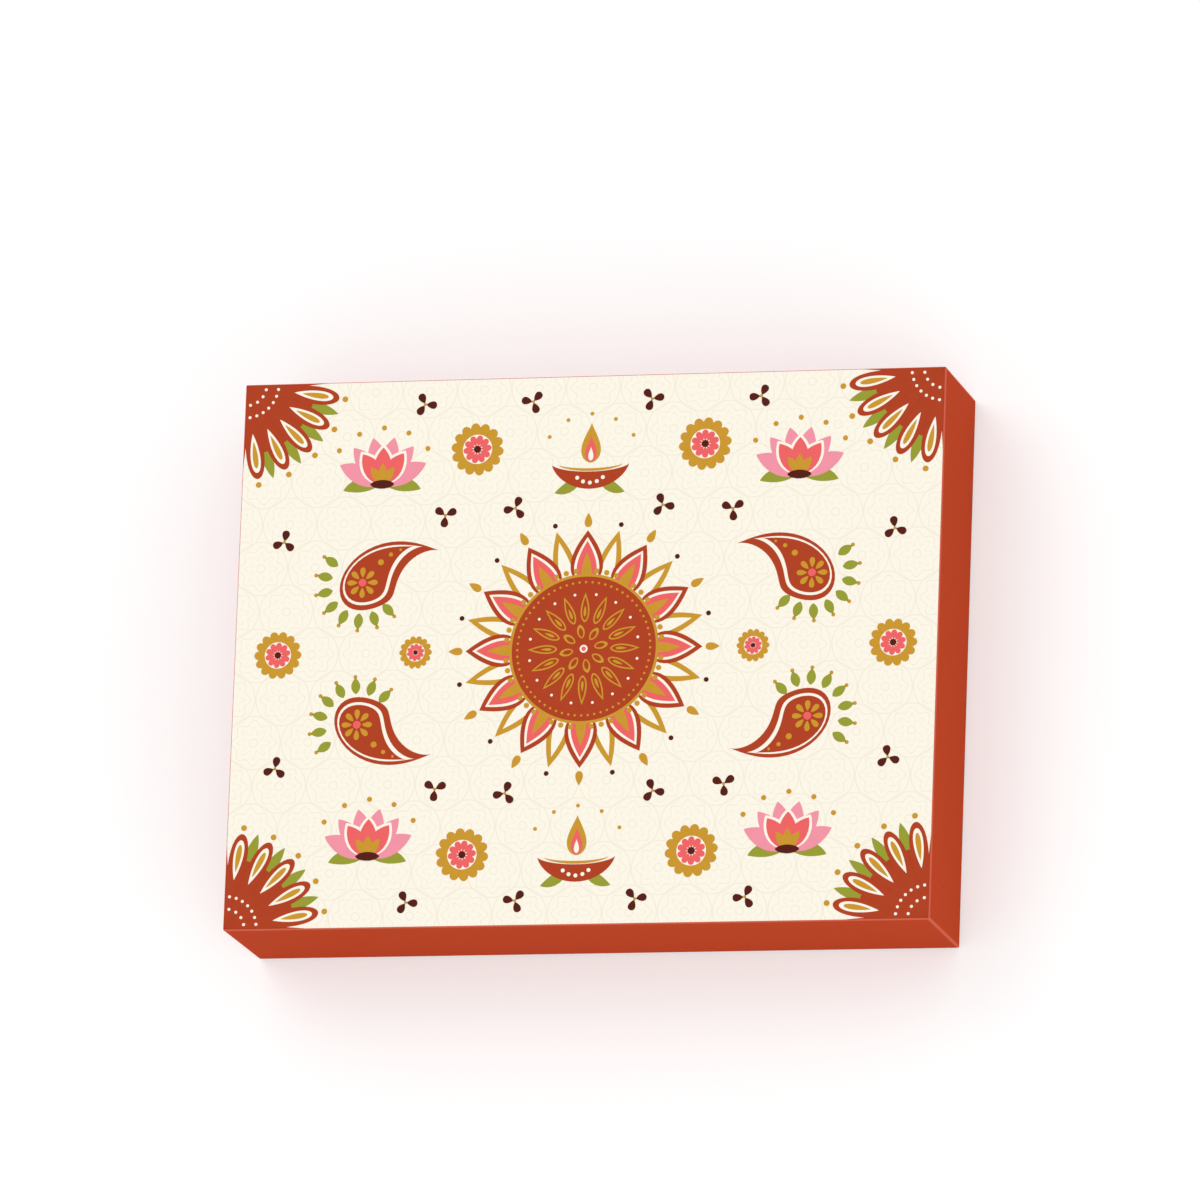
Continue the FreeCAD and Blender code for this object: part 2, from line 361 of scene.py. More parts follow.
    def fold_mask(
        self,
        tree: bpy.types.NodeTree,
        height: bpy.types.NodeSocket,
        near: list[bpy.types.Node],
        patches: bpy.types.Node,
    ) -> bpy.types.Node:
        """Finds the narrow paler line along each fold: partly rubbed print, partly a painted edge highlight.

        Args:
            tree: The material's tree.
            height: The Z coordinate.
            near: The distances from the end walls and the side walls.
            patches: A noise that makes the line uneven.

        Returns:
            A node that gives 1 on a fold and 0 away from it.
        """
        inside = add_node(tree, MATH, {0: near[0], 1: near[1]}, operation="MINIMUM")
        corner = add_node(tree, MATH, {0: near[0], 1: near[1]}, operation="MAXIMUM")
        lines = [(corner, self.corner_fold)]
        for fold_height in self.fold_heights:
            above = add_node(tree, MATH, {0: height, 1: fold_height}, operation="SUBTRACT")
            above = add_node(tree, MATH, {0: above}, operation="ABSOLUTE")
            steps = {0: inside, 1: self.fold_squeeze, 2: above}
            lines.append((add_node(tree, MATH, steps, operation="MULTIPLY_ADD"), self.long_fold))
        mask: Any = 0.0
        for away, width in lines:
            core = self.fold_core * width
            fade = {"Value": away, "From Min": core, "From Max": width, "To Min": 1.0, "To Max": 0.0}
            line = add_node(tree, MAP_RANGE, fade)
            mask = add_node(tree, MATH, {0: mask, 1: line}, operation="MAXIMUM")
        uneven = add_node(tree, MAP_RANGE, {"Value": patches, "To Min": self.least_wear_and_highlight, "To Max": 1.0})
        return add_node(tree, MATH, {0: mask, 1: uneven}, operation="MULTIPLY")

    def ground_mask(self, tree: bpy.types.NodeTree, axes: Any) -> bpy.types.Node:
        """Draws a lattice of rosettes in linked rings, the faint ground of the print.

        Args:
            tree: The material's tree.
            axes: The separated Object coordinates.

        Returns:
            A node that gives 1 on the lattice's lines and 0 between them.
        """
        mask: Any = 0.0
        for shift in (0.0, 0.5):
            offsets = []
            for axis, cell in (("X", self.cell_length), ("Y", self.cell_width)):
                steps = {0: axes[axis], 1: 1 / cell, 2: shift}
                turns = add_node(tree, MATH, steps, operation="MULTIPLY_ADD")
                part = add_node(tree, MATH, {0: turns}, operation="FRACT")
                steps = {0: part, 1: cell, 2: -cell / 2}
                offsets.append(add_node(tree, MATH, steps, operation="MULTIPLY_ADD"))
            flat = add_node(tree, COMBINE, {0: offsets[0], 1: offsets[1]})
            radius = add_node(tree, "ShaderNodeVectorMath", {0: flat}, operation="LENGTH").outputs["Value"]
            angle = add_node(tree, MATH, {0: offsets[1], 1: offsets[0]}, operation="ARCTAN2")
            wave = add_node(tree, MATH, {0: angle, 1: float(self.scallops)}, operation="MULTIPLY")
            wave = add_node(tree, MATH, {0: wave}, operation="COSINE")
            for ring, depth in self.ground_rings:
                edge = add_node(tree, MATH, {0: wave, 1: ring * depth, 2: ring}, operation="MULTIPLY_ADD")
                away = add_node(tree, MATH, {0: radius, 1: edge}, operation="SUBTRACT")
                away = add_node(tree, MATH, {0: away}, operation="ABSOLUTE")
                line = add_node(tree, MATH, {0: away, 1: self.ground_line / 2}, operation="LESS_THAN")
                mask = add_node(tree, MATH, {0: mask, 1: line}, operation="MAXIMUM")
        return mask


@dataclass(frozen=True)
class PrintInk:
    """Offset ink under the lamination: an even colour with a faint cloudiness."""

    ink: Ink
    metallic: float = 0.0
    cloud: float = 3.0 * MM
    cloud_depth: float = 0.04
    cloud_detail: float = 3.0

    def material(self) -> bpy.types.Material:
        """Makes the ink's material.

        Returns:
            The finished material.
        """
        material, tree, output = new_material(f"{self.ink.name.lower()}_offset_ink")
        place = add_node(tree, "ShaderNodeTexCoord").outputs["Object"]
        mottle = {"Vector": place, "Scale": 1 / self.cloud, "Detail": self.cloud_detail}
        cloud = add_node(tree, NOISE, mottle)
        limits = {"Value": cloud, "To Min": 1 - self.cloud_depth, "To Max": 1 + self.cloud_depth}
        level = add_node(tree, MAP_RANGE, limits)
        shades = {"Value": level, "Color": linear(self.ink.value)}
        colour = add_node(tree, "ShaderNodeHueSaturation", shades)
        PaperSurface(metallic=self.metallic).shade(tree, output, colour)
        return material


@dataclass(frozen=True)
class FibreBoard:
    """Greyboard or a plain paper: pressed fibres, with darker and paler specks."""

    name: str
    colour: str
    fleck: str
    # Flecks of recycled pulp are 0.3 to 2 mm long
    fleck_size: float = 1.2 * MM
    fleck_detail: float = 4.0
    fleck_share: float = 0.35
    # Levels of the noise where a fleck begins and where it is full
    fleck_edge: float = 0.45
    fleck_heart: float = 0.7
    roughness: float = 0.85
    tooth_height: float = 0.05 * MM

    def material(self) -> bpy.types.Material:
        """Makes the board's material.

        Returns:
            The finished material.
        """
        material, tree, output = new_material(self.name)
        place = add_node(tree, "ShaderNodeTexCoord").outputs["Object"]
        pulp = {"Vector": place, "Scale": 1 / self.fleck_size, "Detail": self.fleck_detail}
        fibres = add_node(tree, NOISE, pulp)
        limits = {"From Min": self.fleck_edge, "From Max": self.fleck_heart, "To Max": self.fleck_share}
        share = add_node(tree, MAP_RANGE, {"Value": fibres} | limits)
        shades = {0: share, MIX_A: linear(self.colour), MIX_B: linear(self.fleck)}
        colour = add_node(tree, MIX, shades, data_type="RGBA").outputs[MIX_RESULT]
        surface = PaperSurface(roughness=self.roughness, tooth_height=self.tooth_height)
        surface.shade(tree, output, colour)
        return material


# The plain papers and boards of both halves, by the word for them in a node's name
PLAIN_PAPERS = {
    "board": FibreBoard("greyboard", "#978E80", "#5F574C"),
    "lining": FibreBoard("greaseproof_paper", "#F3EDDF", "#E2D8C2", fleck_size=6 * MM, roughness=0.6),
    "stay": FibreBoard("gummed_kraft_paper", "#B98F5E", "#8C683F"),
}


@dataclass(frozen=True)
class MetallisedCard:
    """White card with a gold metallised film on both faces: soft metal shine, raw pale cut edges."""

    thickness_axis: str
    face: str = "#F2D387"
    edge: str = "#EDE6D6"
    # Film lies where the surface faces at least this much along the thickness
    facing_limit: float = 0.5
    # The film follows the slow unevenness of the card
    wave: float = 9.0 * MM
    wave_height: float = 0.05 * MM
    wave_detail: float = 3.0
    roughest: float = 0.5
    smoothest: float = 0.35

    def material(self) -> bpy.types.Material:
        """Makes the card's material.

        Returns:
            The finished material.
        """
        material, tree, output = new_material(f"gold_metallised_card_{self.thickness_axis.lower()}")
        coordinates = add_node(tree, "ShaderNodeTexCoord").outputs
        facing = add_node(tree, "ShaderNodeSeparateXYZ", {0: coordinates["Normal"]})
        facing = add_node(tree, MATH, {0: facing.outputs[self.thickness_axis]}, operation="ABSOLUTE")
        on_face = add_node(tree, MATH, {0: facing, 1: self.facing_limit}, operation="GREATER_THAN")
        shades = {0: on_face, MIX_A: linear(self.edge), MIX_B: linear(self.face)}
        colour = add_node(tree, MIX, shades, data_type="RGBA").outputs[MIX_RESULT]
        swell = {"Vector": coordinates["Object"], "Scale": 1 / self.wave, "Detail": self.wave_detail}
        waves = add_node(tree, NOISE, swell)
        bump = add_node(tree, BUMP, {"Height": waves, "Distance": self.wave_height})
        limits = {"Value": waves, "To Min": self.smoothest, "To Max": self.roughest}
        gloss = add_node(tree, MAP_RANGE, limits)
        shader = add_node(
            tree,
            "ShaderNodeBsdfPrincipled",
            {"Base Color": colour, "Metallic": on_face, "Roughness": gloss, "Normal": bump},
        )
        tree.links.new(shader.outputs[0], output.inputs["Surface"])
        return material


@dataclass(frozen=True)
class Stroke:
    """Outline of one printed stroke: a petal, leaf, drop or dot, in millimetres and degrees.

    Half its width at a share u of its length is in proportion to u**(base taper + 1/2) times
    (1 - u)**(tip taper + 1/2), so with no tapers it is an ellipse.
    """

    length: float
    width: float
    # Distance of the base from the figure's middle
    start: float = 0.0
    shape: Shape = Shape.OVAL
    curl: float = 0.0
    # Height of the upper side as a share of the lower one's
    upper: float = 1.0

    # Power of an end with no taper
    ROUND_END: ClassVar[float] = 0.5
    FEWEST_POINTS: ClassVar[int] = 10
    POINT_SPACING: ClassVar[float] = 1.1

    def half_width(self) -> float:
        """Finds the factor that makes the widest place half the width.

        Returns:
            The factor, in millimetres.
        """
        base, tip = (taper + self.ROUND_END for taper in self.shape.value)
        widest = base / (base + tip)
        return self.width / (2 * widest ** base * (1 - widest) ** tip)

    def points(self) -> int:
        """Counts the outline's points: an even number, so that one lies on the tip."""
        return self.FEWEST_POINTS + 2 * round((self.length + self.width) / 2 / self.POINT_SPACING)


@dataclass(frozen=True)
class Ring:
    """Equal strokes of one ink round a figure's middle."""

    ink: Ink
    # A film of a higher layer lies above those of lower ones
    layer: int
    stroke: Stroke
    count: int = 1
    # Angle of the middle of the row, and the step from one stroke to the next, in degrees
    middle: float = 0.0
    step: Optional[float] = None

    def first_and_step(self) -> tuple[float, float]:
        """Gives the angle of the first stroke and the step to the next, in degrees.

        Returns:
            Both angles. With no step the strokes go all the way round, the first at the middle angle.
        """
        if self.step is None:
            return self.middle, 360 / self.count
        return self.middle - self.step * (self.count - 1) / 2, self.step


# Strokes of several inks that lie on each other, the lowest first
Stack = tuple[tuple[Ink, Stroke], ...]


def dot(size: float, distance: float = 0.0) -> Stroke:
    """A round dot whose middle lies at a distance from the figure's middle."""
    return Stroke(size, size, distance - size / 2)


def stacked(
    stack: Stack, lowest: int, count: int = 1, middle: float = 0.0, step: Optional[float] = None
) -> list[Ring]:
    """Prints strokes on each other, each one layer above the last.

    Args:
        stack: The inks and their strokes.
        lowest: The lowest stroke's layer.
        count: How many times the stack is repeated.
        middle: The angle of the first copy, or of the middle one where there is a step.
        step: The angle from one copy to the next, if they don't go all the way round.

    Returns:
        One ring for each stroke.
    """
    rings = []
    for layer, (ink, stroke) in enumerate(stack, lowest):
        rings.append(Ring(ink, layer, stroke, count, middle, step))
    return rings


def leaf_pair(leaf: Stroke, angle: float) -> list[Ring]:
    """An olive leaf on the right, at an angle in degrees, and its mirror image on the left."""
    mirrored = replace(leaf, curl=-leaf.curl)
    return [Ring(Ink.OLIVE, 0, leaf, 1, angle), Ring(Ink.OLIVE, 0, mirrored, 1, 180 - angle)]


class Figure:
    """A figure of the print."""

    def rings(self) -> list[Ring]:
        """The figure's strokes, which each figure gives for itself."""
        raise NotImplementedError


@dataclass(frozen=True)
class Medallion(Figure):
    """Round field with a fine rosette, framed by a double row of petals."""

    field_radius: float = 23.4
    rim: float = 0.9
    petals: int = 12
    reach: float = 38.5
    # How far the petals start under the field's edge
    tucked: float = 3.0
    # Inks of a petal in either row: the width of each, and how far its tip lies inside the reach
    back_inks: tuple[tuple[Ink, float, float], ...] = ((Ink.GOLD, 7.2, -1.0), (Ink.CREAM, 4.2, 2.5))
    front_inks: tuple[tuple[Ink, float, float], ...] = (
        (Ink.BRICK, 10.6, 0.0),
        (Ink.CREAM, 8.2, 2.2),
        (Ink.CORAL, 6.6, 3.4),
        (Ink.GOLD, 3.4, 7.0),
    )
    # Drops and specks past the petals' tips, and how far past
    drop_length: float = 4.6
    drop_width: float = 2.5
    drop_gap: float = 1.0
    speck: float = 1.6
    speck_gap: float = 3.0
    # Beads outside the rim and fine beads inside it, and how far from it
    bead: float = 1.7
    bead_gap: float = 1.1
    beads: int = 48
    fine_bead: float = 0.8
    fine_bead_gap: float = 1.8
    fine_beads: int = 64
    # The rosette's rays, the stars between their tips, the buds within and the heart
    rays: int = 16
    ray: Stack = (
        (Ink.GOLD, Stroke(9.6, 2.9, 8.6, Shape.PETAL)),
        (Ink.BRICK, Stroke(7.8, 1.9, 9.2, Shape.PETAL)),
        (Ink.GOLD, Stroke(3.6, 0.9, 10.4, Shape.PETAL)),
    )
    star: Stroke = dot(0.9, 17.8)
    bud: Stack = (
        (Ink.GOLD, Stroke(4.6, 2.5, 3.4, Shape.LENS)),
        (Ink.BRICK, Stroke(3.0, 1.4, 3.9, Shape.LENS)),
    )
    heart: Stack = ((Ink.CREAM, dot(2.6)), (Ink.CORAL, dot(1.5)))

    def petal(self, inks: tuple[tuple[Ink, float, float], ...]) -> Stack:
        """Draws a petal in its inks, from under the field's edge outwards.

        Args:
            inks: Each ink with its width, and how far its tip lies inside the reach.

        Returns:
            The petal's strokes.
        """
        start = self.field_radius - self.tucked
        whole = self.reach - start
        return tuple((ink, Stroke(whole - less, width, start, Shape.PETAL)) for ink, width, less in inks)

    def rings(self) -> list[Ring]:
        """Draws the petals, then the field over their bases, then the rosette on the field.

        Returns:
            All rings of the medallion.
        """
        front_layer = len(self.back_inks)
        field_layer = front_layer + len(self.front_inks)
        half_step = 180 / self.petals
        rim = self.field_radius + self.rim
        field = ((Ink.GOLD, dot(2 * rim)), (Ink.BRICK, dot(2 * self.field_radius)))
        speck = dot(self.speck, self.reach + self.speck_gap)
        drop = Stroke(self.drop_length, self.drop_width, self.reach + self.drop_gap, Shape.DROP)
        return [
            *stacked(self.petal(self.back_inks), 0, self.petals, half_step),
            *stacked(self.petal(self.front_inks), front_layer, self.petals),
            Ring(Ink.MAROON, 1, speck, self.petals, half_step),
            Ring(Ink.GOLD, 1, drop, self.petals),
            *stacked(field, field_layer),
            Ring(Ink.GOLD, field_layer + 1, dot(self.bead, rim + self.bead_gap), self.beads),
            *self.rosette(field_layer + len(field)),
        ]

    def rosette(self, lowest: int) -> list[Ring]:
        """Draws the fine strokes inside the field.

        Args:
            lowest: The layer above the field.

        Returns:
            Their rings, from the field's edge to its middle.
        """
        half_step = 180 / self.rays
        bead = dot(self.fine_bead, self.field_radius - self.fine_bead_gap)
        return [
            Ring(Ink.GOLD, lowest, bead, self.fine_beads),
            *stacked(self.ray, lowest, self.rays),
            Ring(Ink.CREAM, lowest, self.star, self.rays, half_step),
            *stacked(self.bud, lowest, self.rays // 2, half_step),
            *stacked(self.heart, lowest),
        ]


@dataclass(frozen=True)
class CornerFan(Figure):
    """Fan of petals that fills a corner of the panel, and opens towards +X."""

    inset: float = 0.4
    reach: float = 31.0
    petals: int = 5
    # Share of its sector that a petal fills, so that the outer ones stay on the panel
    fullness: float = 0.6
    # Each filling's length, its width as a share of the petal's, and how far its tip lies inside the petal's
    fillings: tuple[tuple[Ink, float, float, float], ...] = (
        (Ink.CREAM, 13.0, 0.55, 2.0),
        (Ink.GOLD, 9.0, 0.3, 3.5),
    )
    # Petals that close the gaps, as shares of the others
    short_length: float = 0.74
    short_width: float = 0.85
    leaf_length: float = 13.0
    leaf_width: float = 3.6
    # How far a leaf and the middle of a dot stand out past the petals
    leaf_out: float = 1.0
    dot_out: float = 2.0
    dot_size: float = 1.9
    bead: float = 1.0
    # Rows of beads: how far from the corner, how many, and the step between them
    bead_rows: tuple[tuple[float, int, float], ...] = ((6.5, 4, 22.0), (10.5, 7, 12.5))

    def rings(self) -> list[Ring]:
        """Draws the fan about the corner.

        Returns:
            The leaves, the petals with their fillings, the dots and the rows of beads.
        """
        step = 90 / self.petals
        gaps = self.petals - 1
        wide = 2 * self.reach * math.tan(math.radians(step / 2)) * self.fullness
        leaf_start = self.reach + self.leaf_out - self.leaf_length
        leaf = Stroke(self.leaf_length, self.leaf_width, leaf_start, Shape.LEAF)
        short = Stroke(self.reach * self.short_length, wide * self.short_width, shape=Shape.CLUB)
        petal = [(Ink.BRICK, Stroke(self.reach, wide, shape=Shape.CLUB))]
        for ink, length, share, inside in self.fillings:
            start = self.reach - inside - length
            petal.append((ink, Stroke(length, wide * share, start, Shape.SPOON)))
        strokes = [
            Ring(Ink.OLIVE, 0, leaf, gaps, 0, step),
            Ring(Ink.BRICK, 1, short, gaps, 0, step),
            *stacked(tuple(petal), 2, self.petals, 0, step),
            Ring(Ink.GOLD, 1, dot(self.dot_size, self.reach + self.dot_out), self.petals, 0, step),
        ]
        for distance, count, bead_step in self.bead_rows:
            strokes.append(Ring(Ink.CREAM, 3, dot(self.bead, distance), count, 0, bead_step))
        return strokes


@dataclass(frozen=True)
class Paisley(Figure):
    """Drop with a curled tip, framed by small leaves at its round end."""

    hand: int
    body: float = 18.0
    length: float = 36.0
    curl: float = 105.0
    # Inks of the body, and how much narrower than the body each one is
    inks: tuple[tuple[Ink, float], ...] = ((Ink.BRICK, 0.0), (Ink.CREAM, 3.0), (Ink.BRICK, 4.6))
    # How far a narrower ink moves along the body, and how far it leans, for each millimetre
    shift: float = 0.55
    lean: float = 0.9
    # Leaves round the round end: how many, the step between them and the way they face
    leaves: int = 8
    leaf_step: float = 24.0
    leaf_middle: float = 40.0
    leaf_length: float = 5.2
    leaf_width: float = 3.0
    # How far a leaf's base and the middle of the bead on its tip stand off the body
    leaf_gap: float = 1.0
    bead_gap: float = 6.6
    bead: float = 1.3
    # Flower in the round end
    petals: int = 8
    petal: Stroke = Stroke(3.4, 1.8, 1.6, Shape.SPOON)
    heart: Stroke = dot(2.6)
    # Size, distance and angle of the dots along the tail
    trail: tuple[tuple[float, float, float], ...] = ((2.0, 8.7, 41.5), (1.4, 12.7, 45.0), (0.9, 16.0, 49.1))

    def body_ring(self, ink: Ink, layer: int, less: float) -> Ring:
        """Draws the body in one ink.

        Args:
            ink: The ink.
            layer: Its layer.
            less: How much narrower it is than the body.

        Returns:
            The one stroke.
        """
        share = 1 - less / self.body
        start = self.shift * less - self.body / 2
        curl = self.hand * self.curl * share
        drop = Stroke(self.length * share, self.body * share, start, Shape.TAIL, curl)
        return Ring(ink, layer, drop, 1, self.hand * self.lean * less)

    def rings(self) -> list[Ring]:
        """Draws the paisley, its round end about the figure's middle.

        Returns:
            The leaves, the inks of the body, its flower and the dots along its tail.
        """
        around = 180 + self.hand * self.leaf_middle
        edge = self.body / 2
        leaf = Stroke(self.leaf_length, self.leaf_width, edge + self.leaf_gap, Shape.LEAF)
        on_body = len(self.inks) + 1
        strokes = [
            Ring(Ink.OLIVE, 0, leaf, self.leaves, around, self.leaf_step),
            Ring(Ink.GOLD, 0, dot(self.bead, edge + self.bead_gap), self.leaves, around, self.leaf_step),
            *(self.body_ring(ink, layer, less) for layer, (ink, less) in enumerate(self.inks, 1)),
            Ring(Ink.GOLD, on_body, self.petal, self.petals),
            Ring(Ink.CORAL, on_body + 1, self.heart),
        ]
        for size, distance, angle in self.trail:
            strokes.append(Ring(Ink.GOLD, on_body, dot(size, distance), 1, self.hand * angle))
        return strokes


@dataclass(frozen=True)
class Lotus(Figure):
    """Lotus seen from the side, on two leaves. It opens towards +Y."""

    leaf: Stroke = Stroke(9.5, 3.6, 0.5, Shape.LEAF, curl=-30.0)
    leaf_angle: float = 6.0
    outer_petal: Stroke = Stroke(12.0, 5.0, shape=Shape.LEAF)
    outer_petals: int = 6
    outer_step: float = 26.0
    inner_petal: Stack = (
        (Ink.CREAM, Stroke(10.08, 5.6, shape=Shape.LEAF)),
        (Ink.CORAL, Stroke(9.24, 4.4, shape=Shape.LEAF)),
        (Ink.GOLD, Stroke(5.2, 2.2, shape=Shape.LEAF)),
    )
    inner_petals: int = 3
    inner_step: float = 34.0
    heart: Stroke = Stroke(6.0, 2.2, -3.0, Shape.LENS)
    bead: Stroke = dot(1.3, 14.2)
    beads: int = 5

    def rings(self) -> list[Ring]:
        """Draws the lotus.

        Returns:
            The leaves, the two rows of petals, the heart and the beads above.
        """
        heart_layer = 2 + len(self.inner_petal)
        return [
            *leaf_pair(self.leaf, self.leaf_angle),
            Ring(Ink.PINK, 1, self.outer_petal, self.outer_petals, UP, self.outer_step),
            *stacked(self.inner_petal, 2, self.inner_petals, UP, self.inner_step),
            Ring(Ink.MAROON, heart_layer, self.heart),
            Ring(Ink.GOLD, 1, self.bead, self.beads, UP, self.outer_step),
        ]


@dataclass(frozen=True)
class Lamp(Figure):
    """Clay oil lamp with one flame. Its lip lies along X through the figure's middle."""

    length: float = 25.0
    depth: float = 8.0
    # How far the lip sags below a straight line, as a share of the depth
    sag: float = 0.3
    # Band along the lip: how much shorter it is, its depth as a share of the bowl's, and its sag
    band_less: float = 4.0
    band_depth: float = 0.275
    band_sag: float = 0.6
    leaf: Stroke = Stroke(10.0, 3.6, 5.0, Shape.LEAF, curl=40.0)
    leaf_angle: float = -52.0
    flame: Stack = (
        (Ink.GOLD, Stroke(13.0, 6.4, 0.5, Shape.FLAME)),
        (Ink.CORAL, Stroke(8.5, 3.8, 0.8, Shape.FLAME)),
        (Ink.CREAM, Stroke(4.5, 1.7, 1.2, Shape.FLAME)),
    )
    # Beads on the bowl and sparks round the flame
    bead: Stroke = dot(1.3, 6.0)
    bead_step: float = 22.0
    spark: Stroke = dot(1.3, 16.5)
    spark_step: float = 28.0
    dots: int = 5

    def lens(self, length: float, depth: float, sag: float) -> Stroke:
        """A stroke along X about the figure's middle, round below and sagging above."""
        return Stroke(length, 2 * depth, -length / 2, Shape.LENS, upper=-sag)

    def rings(self) -> list[Ring]:
        """Draws the lamp.

        Returns:
            The leaves, the bowl with its band and beads, the flame and the sparks.
        """
        band = self.lens(self.length - self.band_less, self.depth * self.band_depth, self.band_sag)
        bowl = ((Ink.BRICK, self.lens(self.length, self.depth, self.sag)), (Ink.GOLD, band))
        return [
            *leaf_pair(self.leaf, self.leaf_angle),
            *stacked(bowl, 1),
            Ring(Ink.CREAM, 3, self.bead, self.dots, -UP, self.bead_step),
            *stacked(self.flame, 1, 1, UP),
            Ring(Ink.GOLD, 0, self.spark, self.dots, UP, self.spark_step),
        ]


@dataclass(frozen=True)
class Marigold(Figure):
    """Round flower with two rows of petals."""

    petal: Stroke = Stroke(6.6, 3.3, 2.0, Shape.SPOON)
    petals: int = 14
    disc: Stroke = dot(9.6)
    inner_petal: Stroke = Stroke(3.6, 2.1, 1.0, Shape.SPOON)
    inner_petals: int = 10
    heart: Stroke = dot(2.4)

    def rings(self) -> list[Ring]:
        """Draws the flower.

        Returns:
            The outer row, a pale disc, the inner row and the heart.
        """
        half_step = 180 / self.petals
        return [
            Ring(Ink.GOLD, 1, self.petal, self.petals),
            Ring(Ink.CREAM, 2, self.disc),
            Ring(Ink.CORAL, 3, self.inner_petal, self.inner_petals, half_step),
            Ring(Ink.MAROON, 4, self.heart),
        ]


@dataclass(frozen=True)
class Trefoil(Figure):
    """Small bud of three petals, strewn between the larger figures."""

    petal: Stroke = Stroke(3.5, 2.5, 0.4, Shape.SPOON)
    petals: int = 3
    heart: Stroke = dot(1.0)

    def rings(self) -> list[Ring]:
        """The bud's petals and its heart."""
        return [Ring(Ink.MAROON, 1, self.petal, self.petals, UP), Ring(Ink.GOLD, 2, self.heart)]


@dataclass(frozen=True)
class Mark:
    """Place of one figure, in shares of the panel's half length and half width, its turn and its size."""

    motif: Motif
    x: float
    y: float
    turn: float = 0.0
    size: float = 1.0


class StrokeTree:
    """Geometry tree that prints one ring of strokes at every mark of one figure."""

    INPUTS: ClassVar[dict[str, str]] = {
        "Geometry": "NodeSocketGeometry",
        "Marks": "NodeSocketObject",
        "Motif": "NodeSocketInt",
        "Count": "NodeSocketInt",
        "First angle": "NodeSocketFloat",
        "Step": "NodeSocketFloat",
        "Points": "NodeSocketInt",
        "Start": "NodeSocketFloat",
        "Length": "NodeSocketFloat",
        "Half width": "NodeSocketFloat",
        "Base taper": "NodeSocketFloat",
        "Tip taper": "NodeSocketFloat",
        "Curl": "NodeSocketFloat",
        "Upper side": "NodeSocketFloat",
        "Film": "NodeSocketFloat",
        "Rise": "NodeSocketFloat",
        "Ink": "NodeSocketMaterial",
    }
    # Steps of the outline's formula: a name, an operation and what it works on
    OUTLINE: ClassVar[tuple[tuple[Any, ...], ...]] = (
        ("turn", "DIVIDE", "index", "Points"),
        ("angle", "MULTIPLY", "turn", math.tau),
        ("swing", "COSINE", "angle"),
        ("along", "MULTIPLY_ADD", "swing", -0.5, 0.5),
        ("left", "SUBTRACT", 1.0, "along"),
        ("base power", "ADD", "Base taper", Stroke.ROUND_END),
        ("tip power", "ADD", "Tip taper", Stroke.ROUND_END),
        ("base", "POWER", "along", "base power"),
        ("tip", "POWER", "left", "tip power"),
        ("swell", "MULTIPLY", "base", "tip"),
        ("half", "MULTIPLY", "swell", "Half width"),
        ("halfway", "MULTIPLY", "Points", 0.5),
        ("lower", "GREATER_THAN", "index", "halfway"),
        ("upper", "SUBTRACT", 1.0, "lower"),
        ("upper", "MULTIPLY", "upper", "Upper side"),
        ("side", "SUBTRACT", "upper", "lower"),
        ("across", "MULTIPLY", "half", "side"),
        ("bend", "MULTIPLY", "Curl", "along"),
        ("sine", "SINE", "bend"),
        ("cosine", "COSINE", "bend"),
        ("radius", "DIVIDE", "Length", "Curl"),
        ("arm", "SUBTRACT", "radius", "across"),
        ("x", "MULTIPLY_ADD", "arm", "sine", "Start"),
        ("drop", "MULTIPLY", "arm", "cosine"),
        ("y", "SUBTRACT", "radius", "drop"),
    )
    # Two points of an outline nearer than this are one point
    TOUCH: ClassVar[float] = 0.5e-6
    # Ink is 0.002 mm thick: drawn at 0.02 mm a layer, so that layers keep their order
    LAYER: ClassVar[float] = 0.02 * MM
    SUNK: ClassVar[float] = 0.01 * MM
    # Share of a layer by which the strokes of one ring differ
    SPREAD: ClassVar[float] = 0.6
    # A straight stroke is an arc of this small angle, on a very large radius
    STRAIGHT: ClassVar[float] = 1e-3

    def __init__(self) -> None:
        """Builds the tree."""
        self.tree = bpy.data.node_groups.new("strokes_round_marks", "GeometryNodeTree")
        self.identifiers: dict[str, str] = {}
        for name, kind in self.INPUTS.items():
            socket = self.tree.interface.new_socket(name, in_out="INPUT", socket_type=kind)
            self.identifiers[name] = socket.identifier
        self.tree.interface.new_socket("Geometry", in_out="OUTPUT", socket_type="NodeSocketGeometry")
        self.given = add_node(self.tree, "NodeGroupInput").outputs
        ring = self.ring(self.film(self.outline()))
        printed = self.at_marks(ring)
        joined = add_node(self.tree, "GeometryNodeJoinGeometry")
        self.tree.links.new(self.given["Geometry"], joined.inputs[0])
        self.tree.links.new(printed.outputs[0], joined.inputs[0])
        real = add_node(self.tree, "GeometryNodeRealizeInstances", {0: joined})
        inked = add_node(self.tree, "GeometryNodeSetMaterial", {0: real, "Material": self.given["Ink"]})
        add_node(self.tree, "NodeGroupOutput", {0: inked})

    def outline(self) -> bpy.types.Node:
        """Draws one stroke's outline from the tapers, bent along an arc.

        Returns:
            The node that gives the closed curve.
        """
        values: dict[Any, Any] = {name: self.given[name] for name in self.INPUTS}
        values["index"] = add_node(self.tree, "GeometryNodeInputIndex").outputs[0]
        for name, operation, *operands in self.OUTLINE:
            inputs = {place: values.get(operand, operand) for place, operand in enumerate(operands)}
            values[name] = add_node(self.tree, MATH, inputs, operation=operation).outputs[0]
        around = {"Resolution": self.given["Points"]}
        circle = add_node(self.tree, "GeometryNodeCurvePrimitiveCircle", around, mode="RADIUS")
        place = add_node(self.tree, COMBINE, {"X": values["x"], "Y": values["y"]})
        return add_node(self.tree, "GeometryNodeSetPosition", {0: circle, "Position": place})

